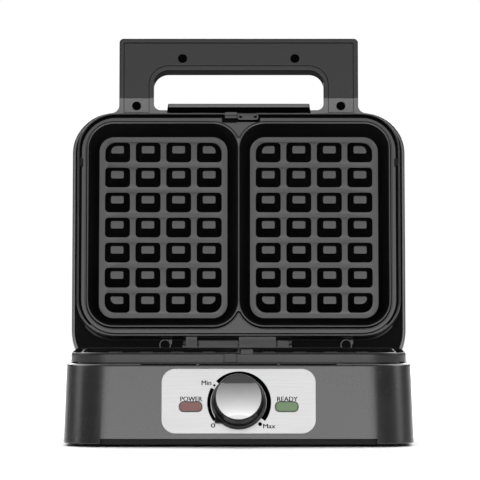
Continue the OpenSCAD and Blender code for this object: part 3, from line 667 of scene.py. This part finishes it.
def plate_form():
    """A removable plate, with its notch for latch and pocket at the far edge."""
    form = Form()
    half_w, half_l = PLATE[0] / 2, PLATE[1] / 2
    outline = rounded([(-half_w, -half_l, PLATE_R), (half_w, -half_l, PLATE_R), (half_w, half_l, PLATE_R),
                       (17.2, half_l, 0.5), (17.2, 86.9, 1.2), (-1.9, 86.9, 0.6), (-1.9, 86.3, 0.6),
                       (-13.5, 86.3, 1.2), (-13.5, half_l, 0.5), (-half_w, half_l, PLATE_R)], 10)
    low, high = form.stack([(inset(outline, d), w) for d, w in soft_profile(LEDGE, FLANGE, 0.2, 0.5)])
    groove = [(3.0, FLANGE), (2.75, FLANGE - 0.35), (2.15, FLANGE - 0.35), (BEAD, FLANGE - 0.1)]
    crown = [(BEAD, -RIM_GAP - 0.7), (BEAD - 0.1, -RIM_GAP - 0.35), (BEAD - 0.35, -RIM_GAP - 0.1),
             (BEAD - 0.7, -RIM_GAP)]
    foot, top = form.stack([(pair_line(d), w) for d, w in groove + crown])
    form.cap(high, foot)
    rims = []
    slope = CAVITY_LEAN / CAVITY_DEPTH
    wall = [(-0.45, -RIM_GAP), (-0.1, -RIM_GAP - 0.15), (0.25, -RIM_GAP - 0.5)]
    wall += [(-w * slope, w) for w in (-1.2, -6.0, -10.6)]
    wall += [(7.4, -11.6), (7.9, -12.2), (8.5, -CAVITY_DEPTH)]
    for x in (-CAVITY_X, CAVITY_X):
        rim, floor_edge = form.stack([(cavity_line(x, t), w) for t, w in wall])
        rims.append(rim)
        feet = []
        for i in range(COLUMNS):
            for j in range(ROWS):
                px = x + (i - (COLUMNS - 1) / 2) * PEG_PITCH[0]
                py = (j - (ROWS - 1) / 2) * PEG_PITCH[1]
                column = -1 if i == 0 else 1 if i == COLUMNS - 1 else 0
                row = -1 if j == 0 else 1 if j == ROWS - 1 else 0
                foot_ring, peak = form.stack([
                    (peg_line(px, py, column, row, h, grow), h - CAVITY_DEPTH)
                    for h, grow in ((0, 0.3), (0.15, 0.1), (0.4, 0), (PEG_H - 0.25, 0),
                                    (PEG_H - 0.08, -0.05), (PEG_H, -0.2))])
                form.cap(peak)
                feet.append(foot_ring)
        form.cap(floor_edge, *feet)
    form.cap(top, *rims)
    under, bottom = form.stack([(pair_line(BEAD), w) for w in (LEDGE, -CAVITY_DEPTH - FLANGE_T)])
    form.cap(low, under)
    form.cap(bottom)
    return form


AT_PLATE = Matrix.Translation((0, PLATE_MID, 0))
for name, place, body, node in (("upper_cooking_plate", LID @ AT_PLATE, "lid", "upper_plate"),
                                ("lower_cooking_plate", BASE @ AT_PLATE, "base", "lower_plate")):
    # the steep walls of the cavities and pegs get a darker, duller copy of the nonstick finish as painted
    # shade; what lies flat keeps the plain nonstick finish
    plate = piece(name, plate_form(), place, "nonstick", body, [node], finish="nonstick_painted_shade")
    recolour(plate, place, "nonstick", lambda normal, at: normal.z > 0.9)

# ---- Lid shell ----


def shell_line(d):
    return rect(0, SHELL_MID, SHELL[0] - 2 * d, SHELL[1] - 2 * d, (SHELL_R[0] - d, SHELL_R[1] - d), 16)


outer = [(WALL, SHELL_RIM - 1.5), (WALL, SHELL_RIM - 0.4), (WALL - 0.4, SHELL_RIM), (0.9, SHELL_RIM),
         (0.25, SHELL_RIM - 0.3), (0, SHELL_RIM - 0.9), (0, -27), (0.6, -31), (2.2, -36), (5.2, -40.5),
         (9, -43.2), (14, -44.6), (20, SHELL_BACK)]
inner = [(21, SHELL_BACK + WALL), (16, -42), (12, -41), (8.2, -39), (5.2, -35.6), (3.4, -31), (WALL, -27)]
shell = Form().loft([(shell_line(d), w) for d, w in inner + outer])
piece("lid_shell_moulding", shell, LID, "housing_plastic", "lid", ["lid_shell"], finish="lid_plastic")

# stubs that carry the handle
leg_x, leg_w = (GRIP_W + HANDLE_W) / 4, (HANDLE_W - GRIP_W) / 2
OPENING_LOW = SHELL_HIGH + 2.2      # lower edge of the grip opening, beside the guard
stubs, recesses = Form(), []
for side in (-1, 1):
    xi, xo, low_u = GRIP_W / 2, HANDLE_W / 2, SHELL_HIGH - 1.5
    corners = [(GUARD_W / 2, low_u, 0.1), (xo + 7.2, low_u, 0.1), (xo + 7.2, SHELL_HIGH - 0.3, 0.1),
               (xo, SHELL_HIGH - 0.2, 6.5), (xo, STUB_TOP, 0.2), (xi, STUB_TOP, 0.2),
               (xi, OPENING_LOW, 5.6), (GUARD_W / 2, OPENING_LOW, 0.1)]
    if side < 0:
        corners = [(-x, u, r) for x, u, r in reversed(corners)]
    stubs.tablet(rounded(corners, 8), SHELL_RIM - HANDLE_T, SHELL_RIM, 0.08)
    line = rect(side * leg_x, SHELL_HIGH + 10, leg_w - 2 * EDGE, 20, 0.5, 4)
    recesses.append(Form().loft([(line, w) for w in (SHELL_RIM - COVER_T - 0.1, SHELL_RIM + 2)]))
piece("handle_stubs", stubs, LID, "housing_plastic", "lid", ["lid_shell"], cutters=recesses,
      finish="lid_plastic")

# ---- Outer panel and guard ----

GUARD_LOW = 199.0                   # just under the lower edge of the guard between the stubs
back = SHELL_BACK
section = rounded([(-4, back - 0.1, 0.3), (-4, back - 2.2, 0.6), (184, back - 2.2, 20),
                   (197, back + 2, 10), (206, back + 12, 6), (209, -27, 1.5), (208.9, -20, 0.5),
                   (205.8, -20, 0.2),
                   (201.3, -12.9, 0.5), (199.4, -13, 0.2), (199.4, -29, 2), (194.5, back + 4, 8),
                   (186.3, back + 0.05, 12)], 6)
panel_half = GUARD_W / 2 + 0.2
panel = Form().loft([(inset(section, d), x) for d, x in soft_profile(-panel_half, panel_half, 0.8, 0.8)])
# the guard gets narrower towards its top edge
panel.points = [(u, w, x * (1 - 0.02 * min(max((u - GUARD_LOW) / 10, 0), 1))) for u, w, x in panel.points]
guard = piece("lid_outer_gloss_panel", panel, LID @ SIDEWAYS, "gloss_black", "lid", ["lid_outer_panel"])
# painted shade and highlight: the guard's front gets the dull ink finish, below a top edge in the lighter
# lid finish that stands for the light caught by that edge
recolour(guard, LID, "ink", lambda normal, at: at.y > GUARD_LOW and at.z > -22 and normal.z > 0.1)
recolour(guard, LID, "lid_plastic", lambda normal, at: at.y > 205.5 and at.z > -22 and normal.z > 0.9)

# ---- Handle ----


def handle_line(t, low=STUB_TOP):
    """The handle's outline above the stubs, drawn in by t from its long sides."""
    x, xi = HANDLE_W / 2 - t, GRIP_W / 2 + t
    top = max(3.4 - 0.6 * t, 0.4)
    return rounded([(-x, low, 0.1), (-xi, low, 0.1), (-xi, GRIP_LOW + t, 12 + t),
                    (xi, GRIP_LOW + t, 12 + t), (xi, low, 0.1), (x, low, 0.1),
                    (x, HANDLE_TOP - t, top), (-x, HANDLE_TOP - t, top)], 8)


grip = Form().tablet(handle_line, SHELL_RIM - HANDLE_T, SHELL_RIM, 0.8, 4.0)
recess_cut = Form().loft([(handle_line(EDGE, STUB_TOP - 1), w) for w in (SHELL_RIM - COVER_T - 0.1, 0)])
grip_piece = piece("handle_grip_moulding", grip, LID, "handle_plastic", "lid", ["handle_grip"],
                   cutters=[recess_cut])
# painted shade: the grip's faces that look down towards the hinge get a dull finish with no sheen
recolour(grip_piece, LID, "grip_underside_painted_shade", lambda normal, at: normal.y < -0.2 and normal.z < 0.6)
cover = Form().tablet(
    lambda d: handle_line(EDGE + SEAM + d), SHELL_RIM - COVER_T, SHELL_RIM, 0.3, 0.05,
    holes=[circle(side * GRIP_SCREW[0], GRIP_SCREW[1], SCREW_HOLE_R) for side in (-1, 1)])
piece("handle_cover_plate", cover, LID, "handle_plastic", "lid", ["handle_cover"])
stub_covers = Form()
for side in (-1, 1):
    low_u, high_u = SHELL_HIGH + 0.3, STUB_TOP - 0.02
    line = rect(side * leg_x, (low_u + high_u) / 2, leg_w - 2 * (EDGE + SEAM), high_u - low_u, 0.3, 4)
    stub_covers.tablet(line, SHELL_RIM - COVER_T, SHELL_RIM, 0.25, 0.05,
                       holes=[circle(side * STUB_SCREW[0], STUB_SCREW[1], SCREW_HOLE_R)])
piece("stub_cover_plates", stub_covers, LID, "housing_plastic", "lid", ["handle_cover"],
      finish="lid_plastic")

# ---- Painted shade in the seam above the front panel ----

# black strips just inside the housing's upper front edge: painted shade in the seam between the lip and
# the housing
seam_shade = Form()
for left, right in ((-76.5, -33.0), (-30.6, 30.2), (32.0, 76.5)):
    seam_shade.block((left, -0.8, -2.2), (right, 0.2, -0.45))
piece("front_seam_painted_shade", seam_shade, PANEL, "housing_plastic", "base", finish="ink")

# ---- Fascia, scale and lettering ----

fascia = Form().tablet(rect(0, -FASCIA_S, *FASCIA, FASCIA_R, 14), 0, FASCIA_T, 0.3, 0.05, holes=[
    circle(0, -KNOB_S, 5.4), *(rect(x, -LENS_S, LENS[0] - 0.4, LENS[1], LENS_R + 0.9, 8)
                               for x in (-LENS_X, LENS_X))])
piece("control_fascia_plate", fascia, PANEL, "fascia_metal", "base", ["control_fascia"])

PRINT_LOW, PRINT_HIGH = FASCIA_T - 0.02, FASCIA_T + 0.03
ARC_R = 24.9
ARC_START, ARC_END = 217.0, -36.0


def arc_band(start, end, steps=60):
    """A band of the dial's scale, which gets thicker from the off position to the full one."""
    outer_line, inner_line = [], []
    for k in range(steps + 1):
        a = start + (end - start) * k / steps
        thick = 2.5 + 1.3 * (ARC_START - a) / (ARC_START - ARC_END)
        way = Vector((math.cos(math.radians(a)), math.sin(math.radians(a))))
        at = Vector((0.4, -KNOB_S))
        outer_line.append(at + way * ARC_R)
        inner_line.append(at + way * (ARC_R - thick))
    return list(reversed(outer_line + inner_line[::-1]))


def lettering(form, words, x, s, cap_height, width):
    """Adds words as flat solids, centred on (x, s), doubled a little apart to make them bold."""
    curve = bpy.data.curves.new("words", "FONT")
    curve.body, curve.size, curve.extrude = words, 1, 0.01
    curve.resolution_u = 4
    holder = bpy.data.objects.new("words", curve)
    bpy.context.scene.collection.objects.link(holder)
    shown = holder.evaluated_get(bpy.context.evaluated_depsgraph_get())
    mesh = shown.to_mesh()
    xs, ys = [v.co.x for v in mesh.vertices], [v.co.y for v in mesh.vertices]
    size, wide = cap_height / (max(ys) - min(ys)), width / (max(xs) - min(xs))
    for shift, lift in ((-0.13, 0), (0.13, 0.01)):
        start = len(form.points)
        form.points += [((v.co.x - (min(xs) + max(xs)) / 2) * wide + x + shift,
                         (v.co.y - (min(ys) + max(ys)) / 2) * size - s,
                         (PRINT_HIGH if v.co.z > 0 else PRINT_LOW) + lift) for v in mesh.vertices]
        form.faces += [tuple(start + i for i in f.vertices) for f in mesh.polygons]
    shown.to_mesh_clear()
    bpy.data.objects.remove(holder)


marks = Form()
marks.tablet(arc_band(ARC_START, 151.5), PRINT_LOW, PRINT_HIGH, 0)
marks.tablet(arc_band(136.4, ARC_END), PRINT_LOW, PRINT_HIGH, 0)
for angle, r, size in ((144, 23.4, 1.9), (-45.8, 23.9, 3.1)):
    a = math.radians(angle)
    marks.tablet(circle(r * math.cos(a), r * math.sin(a) - KNOB_S, size / 2, 24), PRINT_LOW, PRINT_HIGH, 0)
for words, x, s, high, wide in (("Min", -25.1, 15.2, 3.6, 7.4), ("0", -19.9, 49.2, 3.5, 3.2),
                                ("Max", 23.8, 49.7, 3.5, 9.3), ("POWER", -36.9, 28.1, 3.7, 16.9),
                                ("READY", 38.0, 28.1, 3.7, 15.9)):
    lettering(marks, words, x, s, high, wide)
piece("scale_print", marks, PANEL, "knob_plastic", "base", finish="ink")

# ---- Lenses and knob ----

for name, x, slot in (("power_lens", -LENS_X, "red_lens"), ("ready_lens", LENS_X, "green_lens")):
    front_line = rect(x, -LENS_S, LENS[0] - 1.7, LENS[1] - 1.3, LENS_R + 0.3, 8)
    lens = Form().tablet(front_line, -WALL, FASCIA_T + 0.5, 0.5, 0.1)
    lens.tablet(rect(x, -LENS_S, LENS[0] + 4, LENS[1] + 4, LENS_R, 8), -WALL - 1.9, -WALL - 0.1, 0.2)
    piece(f"{name}_moulding", lens, PANEL, slot, "base", [name])

CAP_R = 17.9
DOME = 1.15                         # how far the cap's middle stands out from its edge
FACE = KNOB_H + 0.9 - DOME          # the knob's flat rim round the cap
knob = Form()
skirt = [(3.05, 6.5), (6.2, 6.5), (6.2, KNOB_H - 3.6), (16.4, KNOB_H - 3.6), (17.6, 1.6), (17.8, 1.3),
         (KNOB_R - 0.3, 1.3), (KNOB_R, 1.6), (KNOB_R, 2.9), (KNOB_R - 0.15, 3.25), (KNOB_R - 0.5, 3.5),
         (KNOB_FACE_R + 1.6, 4.1), (KNOB_FACE_R + 1.0, 4.6), (KNOB_FACE_R + 0.8, 5.4),
         (KNOB_FACE_R + 0.1, FACE - 0.9), (KNOB_FACE_R - 0.1, FACE - 0.3), (KNOB_FACE_R - 0.4, FACE),
         (CAP_R + 0.1, FACE), (CAP_R + 0.05, FACE - 0.2), (CAP_R + 0.05, FACE - 1.3), (3.05, FACE - 1.3)]
knob.sweep([(circle(0, -KNOB_S, r, 96), z) for r, z in skirt])
turn = Matrix.Rotation(POINTER, 2)
tab = [turn @ p + Vector((0, -KNOB_S)) for p in rounded(
    [(18.2, -5.6, 0.2), (19.6, -5.3, 0.4), (24.9, 0, 0.5), (19.6, 5.3, 0.4), (18.2, 5.6, 0.2)], 4)]
knob.tablet(tab, 1.4, 4.3, 0.3)
knob_piece = piece("knob_moulding", knob, PANEL, "knob_plastic", "knob", ["knob_body"])
# narrow edges round the knob's face and skirt get the frames' glossier, lighter finish as painted
# highlights
recolour(knob_piece, PANEL, "frame_plastic",
         lambda normal, at: 0.4 < normal.z < 0.9 and (at.z < 4.7 or at.z > FACE - 0.4))

cap = Form()
dome = [(CAP_R, FACE - 1.2), (CAP_R, FACE - 0.1), (CAP_R - 0.15, FACE + 0.02)]
dome += [(r, FACE + DOME * (1 - (r / CAP_R) ** 2)) for r in (17.6, 15, 12, 9, 6, 3, 1, 0.3)]
cap.lathe(0, -KNOB_S, dome, 96)
piece("knob_chrome_cap", cap, PANEL, "chrome", "knob", ["knob_cap"])

# ---- Carried-over nodes ----

CARRIED = {
    "steel": ("thermostat", "bottom_screws", "thermostat_nut", "knob_shaft"),
    "dark_steel": ("lower_side_clips", "upper_side_clips", "hinge_pin"),
    "sheet_aluminium": ("lower_reflector", "upper_reflector"),
    "heater_sheath": ("lower_heating_element", "upper_heating_element"),
    "dark_plastic": ("lower_latch",),
    # the bottom cover is dark plastic with its sheen taken down as painted shade under the base
    "skirt_plastic_painted_shade": ("bottom_cover",),
    "frame_plastic": ("upper_latch",),
    "hinge_grey": ("base_hinge_bracket", "lid_hinge_bracket"),
    # the handle's and the bosses' screws are black as painted shade in their holes
    "ink": ("handle_screws",),
    "shadow_black": ("lid_boss_screws",),
    "rubber": ("rubber_feet", "cord_grommet"),
    "lamp_glass": ("power_lamp", "ready_lamp"),
    "ceramic": ("thermal_fuse", "terminal_block"),
    "wire_cover": ("wiring_loom",),
}
for slot, names in CARRIED.items():
    for name in names:
        node = frame["nodes"][name]
        for place in node.material_slots:
            place.material = MATERIALS[slot]
        edge = node.modifiers.new("edge", "BEVEL")
        edge.width, edge.segments = (0.08 if slot == "hinge_grey" else 0.25) * MM, 2
        edge.limit_method, edge.angle_limit = "ANGLE", math.radians(40)
        edge.harden_normals = True
